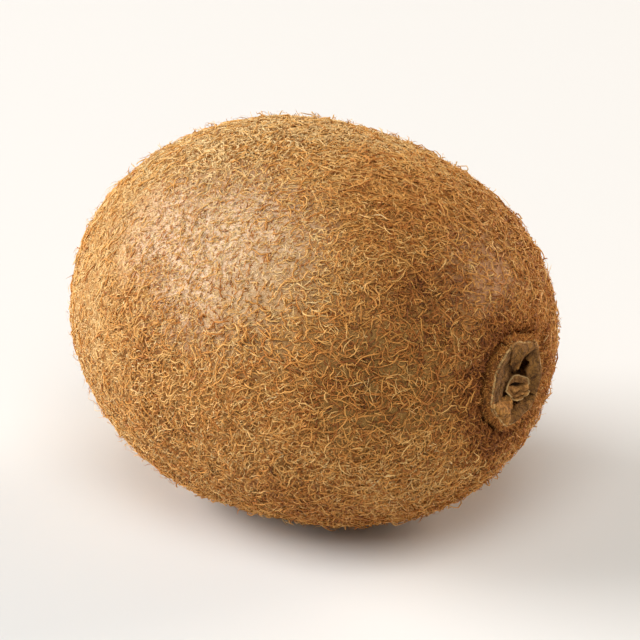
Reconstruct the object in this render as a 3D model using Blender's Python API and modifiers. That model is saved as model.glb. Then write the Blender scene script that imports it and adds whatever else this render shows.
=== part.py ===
"""A kiwi fruit lying on its side: the turned body with a hollow at the stem end, the dried calyx that sits
in it, the broken stub of the stem, and the withered styles at the blossom end.

Metres, +Z up. The long axis runs along X with the stem end at +X. The origin is the middle of the bounding
box's underside, on the surface that the fruit lies on."""

import math
import random

import bmesh
import bpy
from mathutils import Matrix, Vector

# Body
STEM_HALF = 0.0358  # widest ring to the stem end
BLOSSOM_HALF = 0.0302  # widest ring to the blossom end
BODY_RADIUS = 0.0263  # mean of half the width and half the height
OVAL = 1.06  # width over height
STEM_POWER = 2.4  # superellipse power of the blunt stem half
BLOSSOM_POWER = 1.95  # and of the rounder blossom half
BODY_TURNS = 64  # faces round the body
STEM_RINGS = 19
BLOSSOM_RINGS = 16
REST_DEPTH = 0.00045  # how far the flat spot underneath is pressed in

# Hollow at the stem end
LIP_RADIUS = 0.0076  # where the shoulder starts to roll in
LIP_ROLL = 0.0014
LIP_DROP = 0.0012
LIP_RINGS = 4
HOLLOW_RADIUS = 0.0060
HOLLOW_DEPTH = 0.0028  # below the far end of the stem half

# Raised tip and seat of the styles at the blossom end
BEAK_RADIUS = 0.0062
BEAK_HEIGHT = 0.0007
SEAT_RADIUS = 0.0024
SEAT_DEPTH = 0.0006

# Calyx
FIT_GAP = 0.0003  # between pieces that touch on the real fruit
DISC_RADIUS = 0.0048
DISC_THICKNESS = 0.0009
SEPALS = 5
SEPAL_THICKNESS = 0.0005
SEPAL_SPREAD = math.radians(42)  # half the angle that a sepal covers at its foot
SEPAL_ACROSS = 9
SEPAL_ALONG = 12
SEPAL_LAP = 0.0005  # how far one side of a sepal lies over its neighbour
SEPAL_PATH = (  # (radius, height) of a sepal's middle line, from its foot in the disc over the rim and in
    Vector((0.0045, 0.0003)),
    Vector((0.0052, 0.0010)),
    Vector((0.0055, 0.0018)),
    Vector((0.0049, 0.0024)),
    Vector((0.0039, 0.0021)),
    Vector((0.0030, 0.0015)),
)

# Stem stub
STUB_RADIUS = 0.0018
STUB_FOOT_RADIUS = 0.0015
STUB_HEIGHT = 0.0019
STUB_RIM = 0.0004  # width of the rim round the sunken end
STUB_DISH = 0.0005
STUB_TURNS = 28
SLIT_LENGTH = 0.0022
SLIT_WIDTH = 0.0004
SLIT_DEPTH = 0.0006

# Withered styles
BUTTON_RADIUS = 0.0021
BUTTON_HEIGHT = 0.0009
STYLES = 15
STYLE_LENGTH = 0.0021
STYLE_RADIUS = 0.00034
STYLE_TIP_RADIUS = 0.00014
STYLE_LEAN = math.radians(62)  # lean of the outermost ones from the axis
SEED = 7

# Principled BSDF colour and roughness of each piece, as seen on the fruit
SKIN = ((0.36, 0.20, 0.08, 1.0), 0.75)
SEPAL_BROWN = ((0.17, 0.095, 0.045, 1.0), 0.85)
STUB_TAN = ((0.30, 0.20, 0.11, 1.0), 0.85)
STYLE_BROWN = ((0.10, 0.055, 0.028, 1.0), 0.9)

STEM_FACE = STEM_HALF - HOLLOW_DEPTH  # floor of the hollow, along the axis
ALONG_X = Matrix(((0, 0, 1, 0), (1, 0, 0, 0), (0, 1, 0, 0), (0, 0, 0, 1)))  # turns the Z axis to X


def clear_scene():
    for old in list(bpy.data.objects):
        bpy.data.objects.remove(old, do_unlink=True)


def new_collection(name):
    made = bpy.data.collections.new(name)
    bpy.context.scene.collection.children.link(made)
    return made


def matte(name, look):
    colour, roughness = look
    material = bpy.data.materials.new(name)
    material.use_nodes = True
    shader = material.node_tree.nodes["Principled BSDF"]
    shader.inputs["Base Color"].default_value = colour
    shader.inputs["Roughness"].default_value = roughness
    shader.inputs["Metallic"].default_value = 0.0
    material.diffuse_color = colour
    return material


def add_object(name, mesh, collection):
    made = bpy.data.objects.new(name, mesh)
    collection.objects.link(made)
    return made


def evaluated_mesh(source):
    """The mesh of an object with its modifiers applied. The object itself is removed."""
    bpy.context.view_layer.update()
    graph = bpy.context.evaluated_depsgraph_get()
    mesh = bpy.data.meshes.new_from_object(source.evaluated_get(graph))
    bpy.data.objects.remove(source)
    return mesh


def turned_mesh(name, profile, steps, collection):
    """A closed solid turned round Z from (radius, height) points that run from its top to its foot."""
    mesh = bpy.data.meshes.new(name)
    points = [(radius, 0.0, height) for radius, height in profile]
    mesh.from_pydata(points, [(i, i + 1) for i in range(len(points) - 1)], [])
    source = add_object(name, mesh, collection)
    screw = source.modifiers.new("Turn", "SCREW")
    screw.axis = "Z"
    screw.steps = steps
    screw.render_steps = steps
    screw.use_merge_vertices = True
    screw.merge_threshold = 0.00001
    return evaluated_mesh(source)


def finish_object(made, material, sharp=math.radians(40)):
    made.data.materials.clear()
    made.data.materials.append(material)
    made.data.shade_smooth()
    made.data.set_sharp_from_angle(angle=sharp)


def join_by_union(base, pieces, group_name):
    """Fuses pieces into base with one Boolean union, applied, and drops the pieces."""
    group = new_collection(group_name)
    for piece in pieces:
        for holder in list(piece.users_collection):
            holder.objects.unlink(piece)
        group.objects.link(piece)
    union = base.modifiers.new("Fuse", "BOOLEAN")
    union.operation = "UNION"
    union.operand_type = "COLLECTION"
    union.collection = group
    union.solver = "EXACT"
    bpy.context.view_layer.update()
    graph = bpy.context.evaluated_depsgraph_get()
    mesh = bpy.data.meshes.new_from_object(base.evaluated_get(graph))
    base.modifiers.clear()
    base.data = mesh
    for piece in pieces:
        bpy.data.objects.remove(piece)
    bpy.data.collections.remove(group)


def superellipse(turn, half, power):
    """(radius, distance along the axis) of the body at a quarter-turn parameter, 0 at the widest ring."""
    radius = BODY_RADIUS * math.cos(turn) ** (2 / power)
    return radius, half * math.sin(turn) ** (2 / power)


def shoulder_along(radius):
    """Where the stem half's surface stands along the axis at a radius."""
    return STEM_HALF * (1 - (radius / BODY_RADIUS) ** STEM_POWER) ** (1 / STEM_POWER)


def body_profile():
    """Points from the middle of the stem hollow, over the lip and the widest ring, to the blossom end."""
    last_turn = math.acos((LIP_RADIUS / BODY_RADIUS) ** (STEM_POWER / 2))
    lip_along = shoulder_along(LIP_RADIUS)
    points = [(0.0, STEM_FACE), (HOLLOW_RADIUS * 0.55, STEM_FACE), (HOLLOW_RADIUS, STEM_FACE)]
    for ring in range(LIP_RINGS, 0, -1):
        roll = math.radians(90) * ring / LIP_RINGS
        points.append((LIP_RADIUS - LIP_ROLL * math.sin(roll), lip_along - LIP_DROP * (1 - math.cos(roll))))
    for ring in range(STEM_RINGS, 0, -1):
        points.append(superellipse(last_turn * ring / STEM_RINGS, STEM_HALF, STEM_POWER))
    for ring in range(BLOSSOM_RINGS):
        radius, along = superellipse(math.radians(90) * ring / BLOSSOM_RINGS, BLOSSOM_HALF, BLOSSOM_POWER)
        points.append((radius, -along - beak(radius)))
    points.append((SEAT_RADIUS, -BLOSSOM_HALF - beak(SEAT_RADIUS)))
    points.append((SEAT_RADIUS * 0.92, -BLOSSOM_HALF - BEAK_HEIGHT + SEAT_DEPTH))
    points.append((0.0, -BLOSSOM_HALF - BEAK_HEIGHT + SEAT_DEPTH))
    return points


def beak(radius):
    """Height of the raised blossom tip at a radius."""
    return BEAK_HEIGHT * max(0.0, 1 - (radius / BEAK_RADIUS) ** 2) ** 2


def swell(along, turn):
    """Slow uneven growth of the body, as a factor on its radius."""
    wave = 0.006 * math.sin(2 * turn + 0.9 + along / 0.030)
    wave += 0.005 * math.cos(3 * turn - 1.1 - along / 0.024)
    return 1 + wave


def shaped_body(mesh):
    """Lays the turned body along X, makes it oval and gives it its uneven growth, fading at both ends."""
    mesh.transform(ALONG_X)
    for vertex in mesh.vertices:
        along, across, up = vertex.co
        radius = math.hypot(across, up)
        share = min(1.0, max(0.0, (radius - LIP_RADIUS) / (BODY_RADIUS - LIP_RADIUS)))
        growth = 1 + (swell(along, math.atan2(up, across)) - 1) * share
        vertex.co.y = across * growth * math.sqrt(OVAL)
        vertex.co.z = up * growth / math.sqrt(OVAL)


def make_body(parts, cutters, material):
    mesh = turned_mesh("fruit", body_profile(), BODY_TURNS, parts)
    shaped_body(mesh)
    body = add_object("fruit", mesh, parts)
    lowest = min(vertex.co.z for vertex in mesh.vertices)
    floor_height = lowest + REST_DEPTH
    bpy.ops.mesh.primitive_cube_add(size=1)
    floor_block = bpy.context.object
    floor_block.name = "floor_cutter"
    floor_block.scale = (4 * STEM_HALF, 4 * BODY_RADIUS, BODY_RADIUS)
    floor_block.location = (0, 0, floor_height - BODY_RADIUS / 2)
    for holder in list(floor_block.users_collection):
        holder.objects.unlink(floor_block)
    cutters.objects.link(floor_block)
    floor_block.hide_render = True
    floor_block.display_type = "WIRE"
    press = body.modifiers.new("Rest", "BOOLEAN")
    press.operation = "DIFFERENCE"
    press.object = floor_block
    press.solver = "EXACT"
    finish_object(body, material)
    return body, floor_block, floor_height


def on_path(points, share):
    """A point of the smooth curve through points, share 0 to 1 of the way along it."""
    place = share * (len(points) - 1)
    start = min(int(place), len(points) - 2)
    t = place - start
    before, a, b, after = (points[min(max(start + k, 0), len(points) - 1)] for k in (-1, 0, 1, 2))
    leave, arrive = (b - before) / 2, (after - a) / 2
    bend = (2 * t**3 - 3 * t**2 + 1) * a + (3 * t**2 - 2 * t**3) * b
    return bend + (t**3 - 2 * t**2 + t) * leave + (t**3 - t**2) * arrive


def sepal_point(across, along, uneven):
    """A point of a sepal. across is -1 to 1, along is 0 at its foot and 1 at its folded-in tip."""
    lift, inward = uneven
    radius, height = on_path(SEPAL_PATH, along)
    past_rim = max(0.0, along - 0.5) * 2
    radius += SEPAL_LAP * across * (0.4 + 0.6 * past_rim) * 0.5 - inward * past_rim
    height += lift * min(1.0, 2 * along) + SEPAL_LAP * across * past_rim
    height -= 0.3 * SEPAL_LAP * math.cos(2.5 * math.pi * across) * past_rim
    turn = SEPAL_SPREAD * across * (1 - 0.45 * past_rim**1.6)
    return Vector((radius * math.cos(turn), radius * math.sin(turn), height))


def make_sepal(number, draw, parts):
    cage = bmesh.new()
    bmesh.ops.create_grid(cage, x_segments=SEPAL_ACROSS, y_segments=SEPAL_ALONG, size=1.0)
    uneven = (draw.uniform(-0.0003, 0.0002), draw.uniform(-0.0006, 0.0004))
    for vertex in cage.verts:
        vertex.co = sepal_point(vertex.co.x, (vertex.co.y + 1) / 2, uneven)
    bmesh.ops.recalc_face_normals(cage, faces=cage.faces)
    mesh = bpy.data.meshes.new("sepal")
    cage.to_mesh(mesh)
    cage.free()
    blade = add_object(f"sepal_{number}", mesh, parts)
    skin = blade.modifiers.new("Thickness", "SOLIDIFY")
    skin.thickness = SEPAL_THICKNESS
    skin.offset = 0.0
    solid = add_object(f"sepal_solid_{number}", evaluated_mesh(blade), parts)
    solid.data.transform(Matrix.Rotation(math.tau * number / SEPALS + draw.uniform(-0.08, 0.08), 4, "Z"))
    return solid


def make_calyx(parts, material):
    """The receptacle disc with its sepals fused on, lying in the stem hollow."""
    draw = random.Random(SEED)
    edge = DISC_THICKNESS * 0.35
    disc = [
        (0.0, DISC_THICKNESS),
        (DISC_RADIUS - edge, DISC_THICKNESS),
        (DISC_RADIUS, DISC_THICKNESS - edge),
        (DISC_RADIUS, edge),
        (DISC_RADIUS - edge, 0.0),
        (0.0, 0.0),
    ]
    calyx = add_object("calyx", turned_mesh("calyx", disc, 40, parts), parts)
    sepals = [make_sepal(number, draw, parts) for number in range(SEPALS)]
    join_by_union(calyx, sepals, "sepals_to_fuse")
    calyx.data.transform(Matrix.Translation((STEM_FACE + FIT_GAP, 0, 0)) @ ALONG_X)
    finish_object(calyx, material)
    return calyx


def make_stub(parts, cutters, material):
    """The broken stem: a short uneven peg with a rim, a sunken end and a slit across its pith."""
    base = STEM_FACE + 2 * FIT_GAP + DISC_THICKNESS
    inner = STUB_RADIUS - STUB_RIM
    profile = [
        (0.0, STUB_HEIGHT - STUB_DISH * 0.7),
        (inner * 0.5, STUB_HEIGHT - STUB_DISH * 0.8),
        (inner * 0.9, STUB_HEIGHT - STUB_DISH),
        (inner, STUB_HEIGHT - STUB_DISH * 0.2),
        (STUB_RADIUS - STUB_RIM * 0.55, STUB_HEIGHT),
        (STUB_RADIUS, STUB_HEIGHT - STUB_RIM * 0.6),
        (STUB_RADIUS * 0.97, STUB_HEIGHT * 0.6),
        (STUB_FOOT_RADIUS, STUB_HEIGHT * 0.25),
        (STUB_FOOT_RADIUS, 0.0),
        (0.0, 0.0),
    ]
    mesh = turned_mesh("stem_stub", profile, STUB_TURNS, parts)
    for vertex in mesh.vertices:
        turn = math.atan2(vertex.co.y, vertex.co.x)
        ragged = 1 + 0.05 * math.sin(3 * turn + 0.5) + 0.04 * math.cos(5 * turn)
        vertex.co.x *= ragged
        vertex.co.y *= ragged
        if vertex.co.z > STUB_HEIGHT * 0.5:
            vertex.co.z -= STUB_DISH * 0.35 * (1 + math.sin(2 * turn + 1.0)) / 2
    stub = add_object("stem_stub", mesh, parts)
    stub.data.transform(Matrix.Translation((base, 0, 0)) @ ALONG_X)
    bpy.ops.mesh.primitive_cube_add(size=1)
    slit = bpy.context.object
    slit.name = "slit_cutter"
    slit.scale = (2 * SLIT_DEPTH, SLIT_LENGTH, SLIT_WIDTH)
    slit.rotation_euler = (math.radians(8), 0, 0)
    slit.location = (base + STUB_HEIGHT - STUB_DISH, 0, 0.0002)
    for holder in list(slit.users_collection):
        holder.objects.unlink(slit)
    cutters.objects.link(slit)
    slit.hide_render = True
    slit.display_type = "WIRE"
    cut = stub.modifiers.new("Slit", "BOOLEAN")
    cut.operation = "DIFFERENCE"
    cut.object = slit
    cut.solver = "EXACT"
    finish_object(stub, material)
    return stub, slit


def make_style(number, draw, parts):
    """One withered style: a slim cone that leans out, further from the axis the later its number."""
    share = math.sqrt(number / (STYLES - 1))
    golden = math.pi * (3 - math.sqrt(5))
    length = STYLE_LENGTH * (1 if number == 0 else draw.uniform(0.62, 0.92))
    cone = bmesh.new()
    bmesh.ops.create_cone(
        cone, cap_ends=True, segments=6, radius1=STYLE_RADIUS, radius2=STYLE_TIP_RADIUS, depth=length
    )
    bmesh.ops.translate(cone, verts=cone.verts, vec=(0, 0, length / 2))
    mesh = bpy.data.meshes.new("style")
    cone.to_mesh(mesh)
    cone.free()
    lean = Matrix.Rotation(STYLE_LEAN * share, 4, "Y")
    spin = Matrix.Rotation(number * golden, 4, "Z")
    root = Matrix.Translation((BUTTON_RADIUS * 0.72 * share, 0, BUTTON_HEIGHT * 0.35))
    mesh.transform(spin @ root @ lean)
    return add_object(f"style_{number}", mesh, parts)


def make_styles(parts, material):
    """The button at the blossom end with its withered styles fused on."""
    draw = random.Random(SEED + 1)
    button = [(0.0, BUTTON_HEIGHT)]
    for ring in range(1, 5):
        turn = math.radians(90) * ring / 4
        button.append((BUTTON_RADIUS * math.sin(turn), BUTTON_HEIGHT * (0.3 + 0.7 * math.cos(turn))))
    button += [(BUTTON_RADIUS * 0.9, 0.0), (0.0, 0.0)]
    tuft = add_object("style_tuft", turned_mesh("style_tuft", button, 28, parts), parts)
    styles = [make_style(number, draw, parts) for number in range(STYLES)]
    join_by_union(tuft, styles, "styles_to_fuse")
    seat = BLOSSOM_HALF + BEAK_HEIGHT - SEAT_DEPTH + FIT_GAP
    facing_back = Matrix.Rotation(math.pi, 4, "Z") @ Matrix.Translation((seat, 0, 0))
    tuft.data.transform(facing_back @ ALONG_X)
    finish_object(tuft, material)
    return tuft


def stand_on_origin(pieces, helpers, floor_height):
    """Moves everything so that the origin is the middle of the bounding box's underside."""
    bpy.context.view_layer.update()
    graph = bpy.context.evaluated_depsgraph_get()
    corners = []
    for piece in pieces:
        shown = piece.evaluated_get(graph)
        corners += [shown.matrix_world @ vertex.co for vertex in shown.data.vertices]
    middle_x = (min(c.x for c in corners) + max(c.x for c in corners)) / 2
    middle_y = (min(c.y for c in corners) + max(c.y for c in corners)) / 2
    for moved in pieces + helpers:
        moved.location += Vector((-middle_x, -middle_y, -floor_height))


def main():
    clear_scene()
    parts = new_collection("kiwi_fruit")
    cutters = new_collection("cutters")
    body, floor_block, floor_height = make_body(parts, cutters, matte("skin", SKIN))
    calyx = make_calyx(parts, matte("dried_sepal", SEPAL_BROWN))
    stub, slit = make_stub(parts, cutters, matte("broken_stem", STUB_TAN))
    tuft = make_styles(parts, matte("withered_style", STYLE_BROWN))
    stand_on_origin([body, calyx, stub, tuft], [floor_block, slit], floor_height)


main()
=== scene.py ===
import math

import bpy
import numpy as np
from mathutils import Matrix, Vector, noise


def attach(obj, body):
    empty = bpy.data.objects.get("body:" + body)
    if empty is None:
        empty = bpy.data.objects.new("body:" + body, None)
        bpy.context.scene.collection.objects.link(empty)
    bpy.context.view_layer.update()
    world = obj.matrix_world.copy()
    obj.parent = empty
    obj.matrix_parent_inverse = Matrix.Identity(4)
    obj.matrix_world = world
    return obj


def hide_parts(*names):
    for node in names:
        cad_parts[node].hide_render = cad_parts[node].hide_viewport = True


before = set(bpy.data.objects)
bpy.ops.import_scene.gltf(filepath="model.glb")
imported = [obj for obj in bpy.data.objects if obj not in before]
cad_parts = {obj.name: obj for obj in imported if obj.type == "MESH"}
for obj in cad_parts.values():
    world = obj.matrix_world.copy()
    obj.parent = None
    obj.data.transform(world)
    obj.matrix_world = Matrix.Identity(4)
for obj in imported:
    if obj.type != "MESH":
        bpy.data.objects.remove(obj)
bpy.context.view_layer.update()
print("frame loaded:", sorted(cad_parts))


# Material helpers

class Wire:  # one socket's value in a material; Python operators add Math nodes to it
    def __init__(self, paint, socket):
        self.paint = paint
        self.socket = socket

    def math(self, operation, *values):
        return self.paint.node("ShaderNodeMath", {"operation": operation}, dict(enumerate(values)))

    def __add__(self, other):
        return self.math("ADD", self, other)

    def __sub__(self, other):
        return self.math("SUBTRACT", self, other)

    def __rsub__(self, other):
        return self.math("SUBTRACT", other, self)

    def __mul__(self, other):
        return self.math("MULTIPLY", self, other)

    def __truediv__(self, other):
        return self.math("DIVIDE", self, other)

    def __abs__(self):
        return self.math("ABSOLUTE", self)

    __radd__ = __add__
    __rmul__ = __mul__

    def most(self, other):
        return self.math("MAXIMUM", self, other)

    def also(self, name):  # another output of the same node
        return Wire(self.paint, self.socket.node.outputs[name])

    def between(self, low, high):  # 0 below low, 1 above high, smooth in between; low may be above high
        return self.paint.node(
            "ShaderNodeMapRange",
            {"interpolation_type": "SMOOTHSTEP"},
            {"Value": self, "From Min": low, "From Max": high},
        )


class Paint:  # a node material, or the world's nodes
    def __init__(self, name, kind="materials"):
        self.material = getattr(bpy.data, kind).new(name)
        self.material.use_nodes = True
        self.tree = self.material.node_tree
        self.tree.nodes.clear()

    def node(self, kind, settings=None, sockets=None, output=0):
        made = self.tree.nodes.new(kind)
        for name, value in (settings or {}).items():
            if name == "stops":
                ramp = made.color_ramp
                while len(ramp.elements) < len(value):
                    ramp.elements.new(1.0)
                for element, (place, colour) in zip(ramp.elements, value):
                    element.position = place
                    element.color = (*colour, 1.0)
            else:
                setattr(made, name, value)
        for name, value in (sockets or {}).items():
            if isinstance(value, Wire):
                self.tree.links.new(value.socket, made.inputs[name])
            else:
                made.inputs[name].default_value = value
        return Wire(self, made.outputs[output] if made.outputs else None)

    def mix(self, factor, first, second, way="MIX"):
        ends = [c if isinstance(c, Wire) else (*c, 1.0) for c in (first, second)]
        settings = {"data_type": "RGBA", "blend_type": way}
        return self.node("ShaderNodeMix", settings, {0: factor, 6: ends[0], 7: ends[1]}, output=2)

    def ramp(self, value, stops):
        return self.node("ShaderNodeValToRGB", {"stops": stops}, {"Fac": value})

    def place(self, shift=(0, 0, 0)):  # object coordinates in metres, moved
        where = self.node("ShaderNodeTexCoord").also("Object")
        return self.node("ShaderNodeMapping", {}, {"Vector": where, "Location": shift})

    def split(self, vector):
        return self.node("ShaderNodeSeparateXYZ", {}, {"Vector": vector})

    def distance(self, where, middle):
        sockets = {0: where, 1: middle}
        return self.node("ShaderNodeVectorMath", {"operation": "DISTANCE"}, sockets, output="Value")

    def clouds(self, size, detail=2.0, rough=0.5, where=None, warp=0.0):  # size is a cloud's width in metres
        sockets = {
            "Vector": where or self.place(),
            "Scale": 1 / size,
            "Detail": detail,
            "Roughness": rough,
            "Distortion": warp,
        }
        return self.node("ShaderNodeTexNoise", {}, sockets)

    def mottle(self, size, detail, dark, light):
        return self.mix(self.clouds(size, detail).between(0.35, 0.65), dark, light)

    def threads(self, size, thickness, where=None):  # fine curling lines: a cloud's level lines
        return abs(self.clouds(size, 1.0, 0.45, where, 1.2) - 0.5).between(thickness, thickness * 0.25)

    def cells(self, size):
        return self.node("ShaderNodeTexVoronoi", {}, {"Vector": self.place(), "Scale": 1 / size})

    def bump(self, height, distance, strength=1.0):
        return self.node("ShaderNodeBump", {}, {"Height": height, "Distance": distance, "Strength": strength})

    def finish(self, **sockets):
        named = {name.replace("_", " "): value for name, value in sockets.items()}
        shader = self.node("ShaderNodeBsdfPrincipled", {}, named)
        self.node("ShaderNodeOutputMaterial", {}, {"Surface": shader})
        return self.material


# Mesh helpers

def meshObject(name, points, quads, triangles, material):
    mesh = bpy.data.meshes.new(name)
    corners = np.concatenate([quads.ravel(), triangles.ravel()]).astype(np.int32)
    starts = np.concatenate([np.arange(len(quads)) * 4, 4 * len(quads) + np.arange(len(triangles)) * 3])
    mesh.vertices.add(len(points))
    mesh.vertices.foreach_set("co", points.astype(np.float32).ravel())
    mesh.loops.add(len(corners))
    mesh.loops.foreach_set("vertex_index", corners)
    mesh.polygons.add(len(starts))
    mesh.polygons.foreach_set("loop_start", starts.astype(np.int32))
    mesh.update(calc_edges=True)
    mesh.shade_smooth()
    mesh.materials.append(material)
    made = bpy.data.objects.new(name, mesh)
    bpy.context.scene.collection.objects.link(made)
    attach(made, "root")
    return made


def addMap(made, name, corners):  # a UV map, from a pair of values for each corner of the mesh
    layer = made.data.uv_layers.new(name=name)
    layer.data.foreach_set("uv", corners.astype(np.float32).ravel())


def ringQuads(rings, turns, first=0):  # quads between rings of points, of which number first is the first
    step = np.arange(turns)
    after = (step + 1) % turns
    ring = np.arange(rings - 1)[:, None] * turns + first
    return np.stack([ring + step, ring + after, ring + turns + after, ring + turns + step], -1).reshape(-1, 4)


def fan(tip, first, turns):  # triangles from a tip to the ring of points that starts at number first
    step = np.arange(turns)
    return np.stack([np.full(turns, tip), first + step, first + (step + 1) % turns], -1)


def unit(vectors):
    return vectors / np.maximum(np.linalg.norm(vectors, axis=-1, keepdims=True), 1e-12)


def smooth(value):  # 0 to 1 with level ends
    value = np.clip(value, 0, 1)
    return value * value * (3 - 2 * value)


# Body: the same form as the solid, as a surface round its centre

body = {
    "centre": np.array([-0.0017, -0.0001, 0.0251]),  # middle of the widest ring
    "stemHalf": 0.0358,  # from there to each end
    "blossomHalf": 0.0302,
    "radius": 0.0263,
    "oval": 1.06,  # width over height
    "stemPower": 2.4,  # of the superellipse
    "blossomPower": 1.95,
    "swell": (0.006, 0.005),  # wide uneven bulges, as shares of the radius
    "ripple": 0.00005,  # fine unevenness under the hair
    "scar": np.array([0.0004, 0.0001]),  # the stem hollow's middle, off the axis in y and z
    "lip": 0.0079,  # radius where the shoulder rolls into the stem hollow
    "hollow": 0.0052,
    "hollowDrop": 0.0020,  # below the lip
    "beak": 0.0062,  # radius and height of the blossom tip
    "beakHeight": 0.0007,
    "seat": 0.0027,  # radius, wall and depth of the seat for the style tuft
    "seatWall": 0.0006,
    "seatDrop": 0.0006,
    "turns": 180,  # points round a ring of its mesh
    "bands": [(0, 16, 30), (16, 173, 107), (173, 180, 12)],  # degrees from and to, and the rings in between
    "colours": {
        "brown": (0.290, 0.117, 0.026),
        "light": (0.450, 0.210, 0.055),
        # tan: pale skin of the thin patches, partly a painted highlight (sheen)
        "tan": (0.840, 0.620, 0.430),
        # rose: skin of the bare patch, partly a painted sheen
        "rose": (0.450, 0.225, 0.110),
        "olive": (0.260, 0.145, 0.036),
        "gold": (0.620, 0.340, 0.115),
        "field": (0.470, 0.285, 0.115),
        "dark": (0.150, 0.058, 0.011),
        "thread": (0.680, 0.350, 0.095),
        # scar: skin of the stem hollow, partly painted shade of its groove
        "scar": (0.190, 0.085, 0.026),
    },
}
ovalRoot = math.sqrt(body["oval"])


def skinAt(directions):  # the skin's point in each direction from the centre
    x, y, z = directions.T
    turn = np.arctan2(z, y)
    stem = x > 0
    half = np.where(stem, body["stemHalf"], body["blossomHalf"])
    power = np.where(stem, body["stemPower"], body["blossomPower"])
    across = np.hypot(y, z)
    reach = ((np.abs(x) / half) ** power + (across / body["radius"]) ** power) ** (-1 / power)
    along, out = reach * x, reach * across
    share = np.clip((out - body["lip"]) / (body["radius"] - body["lip"]), 0, 1)
    swell = body["swell"][0] * np.sin(2 * turn + 0.9 + along / 0.030)
    swell = swell + body["swell"][1] * np.cos(3 * turn - 1.1 - along / 0.024)
    scarOut = np.hypot(out * np.cos(turn) - body["scar"][0], out * np.sin(turn) - body["scar"][1])
    dip = smooth((body["lip"] - scarOut) / (body["lip"] - body["hollow"])) * body["hollowDrop"]
    tip = np.maximum(0, 1 - (out / body["beak"]) ** 2) ** 2 * body["beakHeight"]
    tip = tip - smooth((body["seat"] - out) / body["seatWall"]) * body["seatDrop"]
    along = along - np.where(stem, dip, tip)
    grown = out * (1 + swell * share)
    ripple = np.sin(along / 0.0011 + 3 * turn) * np.sin(turn * 19 + along / 0.0023)
    ripple = ripple + np.sin(along / 0.0007 - 7 * turn) * np.sin(turn * 31 - along / 0.0014)
    grown = grown + ripple * body["ripple"] * share
    offsets = np.stack([along, grown * np.cos(turn) * ovalRoot, grown * np.sin(turn) / ovalRoot], 1)
    points = body["centre"] + offsets
    points[:, 2] = np.maximum(points[:, 2], 0.0)  # the flat spot that it rests on
    return points


def directionOf(points):
    return unit((points - body["centre"]) * np.array([1, 1 / ovalRoot, ovalRoot]))


def skinFrame(points):  # (point, normal, towards the stem end, round the fruit) at the skin under each point
    forward = directionOf(points)
    side = unit(np.cross(forward, np.array([0.31, -0.52, 0.79])))  # any direction that isn't forward
    other = np.cross(forward, side)
    at = skinAt(forward)
    step = 0.006  # radians to the two neighbours that give the normal
    normal = np.cross(skinAt(unit(forward + step * side)) - at, skinAt(unit(forward + step * other)) - at)
    normal = unit(normal * np.sign((normal * forward).sum(1, keepdims=True)))
    along = unit(np.array([1.0, 0, 0]) - normal[:, :1] * normal)
    return at, normal, along, np.cross(normal, along)


patches = {  # spots where the coat changes: middle and reach
    "thin": ([0.0040, -0.0200, 0.0422], 0.0130),  # thin coat over pale skin, its paleness partly a painted highlight
    "thinSide": ([-0.0075, -0.0190, 0.0425], 0.0085),
    "thinBack": ([-0.0150, 0.0215, 0.0345], 0.0100),
    "paintedHighlight": ([0.0021, -0.0198, 0.0426], 0.0062),  # palest hair: a painted highlight
    "field": ([0.0135, -0.0216, 0.0368], 0.0095),  # sparse felt with thicker threads
    "mid": ([0.0185, -0.0195, 0.0385], 0.0075),  # lighter hair
    "bare": ([0.0302, -0.0006, 0.0385], 0.0072),  # rosy skin over the calyx, with few hairs; its paleness partly a painted sheen
    "olive": ([0.0272, -0.0180, 0.0285], 0.0105),  # skin showing between long threads
    "oliveBack": ([0.0080, 0.0250, 0.0330], 0.0120),
    "dusk": ([0.0290, -0.0104, 0.0371], 0.0064),  # darker hair
    "duskTop": ([0.0055, -0.0100, 0.0482], 0.0080),
    "duskSide": ([0.0155, -0.0035, 0.0480], 0.0100),
    "under": ([0.0160, -0.0190, 0.0060], 0.0100),
    "underBack": ([-0.0100, 0.0200, 0.0090], 0.0120),
    "low": ([0.0270, -0.0155, 0.0160], 0.0125),  # lighter hair
}
patchEdge = 1.35  # a patch ends at this many reaches from its middle, and is full one reach further in


def patch(points, *names):  # how far inside the named patches each point is, 0 to 1
    found = np.zeros(len(points))
    for name in names:
        middle, reach = patches[name]
        far = np.linalg.norm(points - np.array(middle), axis=1) / reach
        found = np.maximum(found, smooth(patchEdge - far))
    return found


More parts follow.
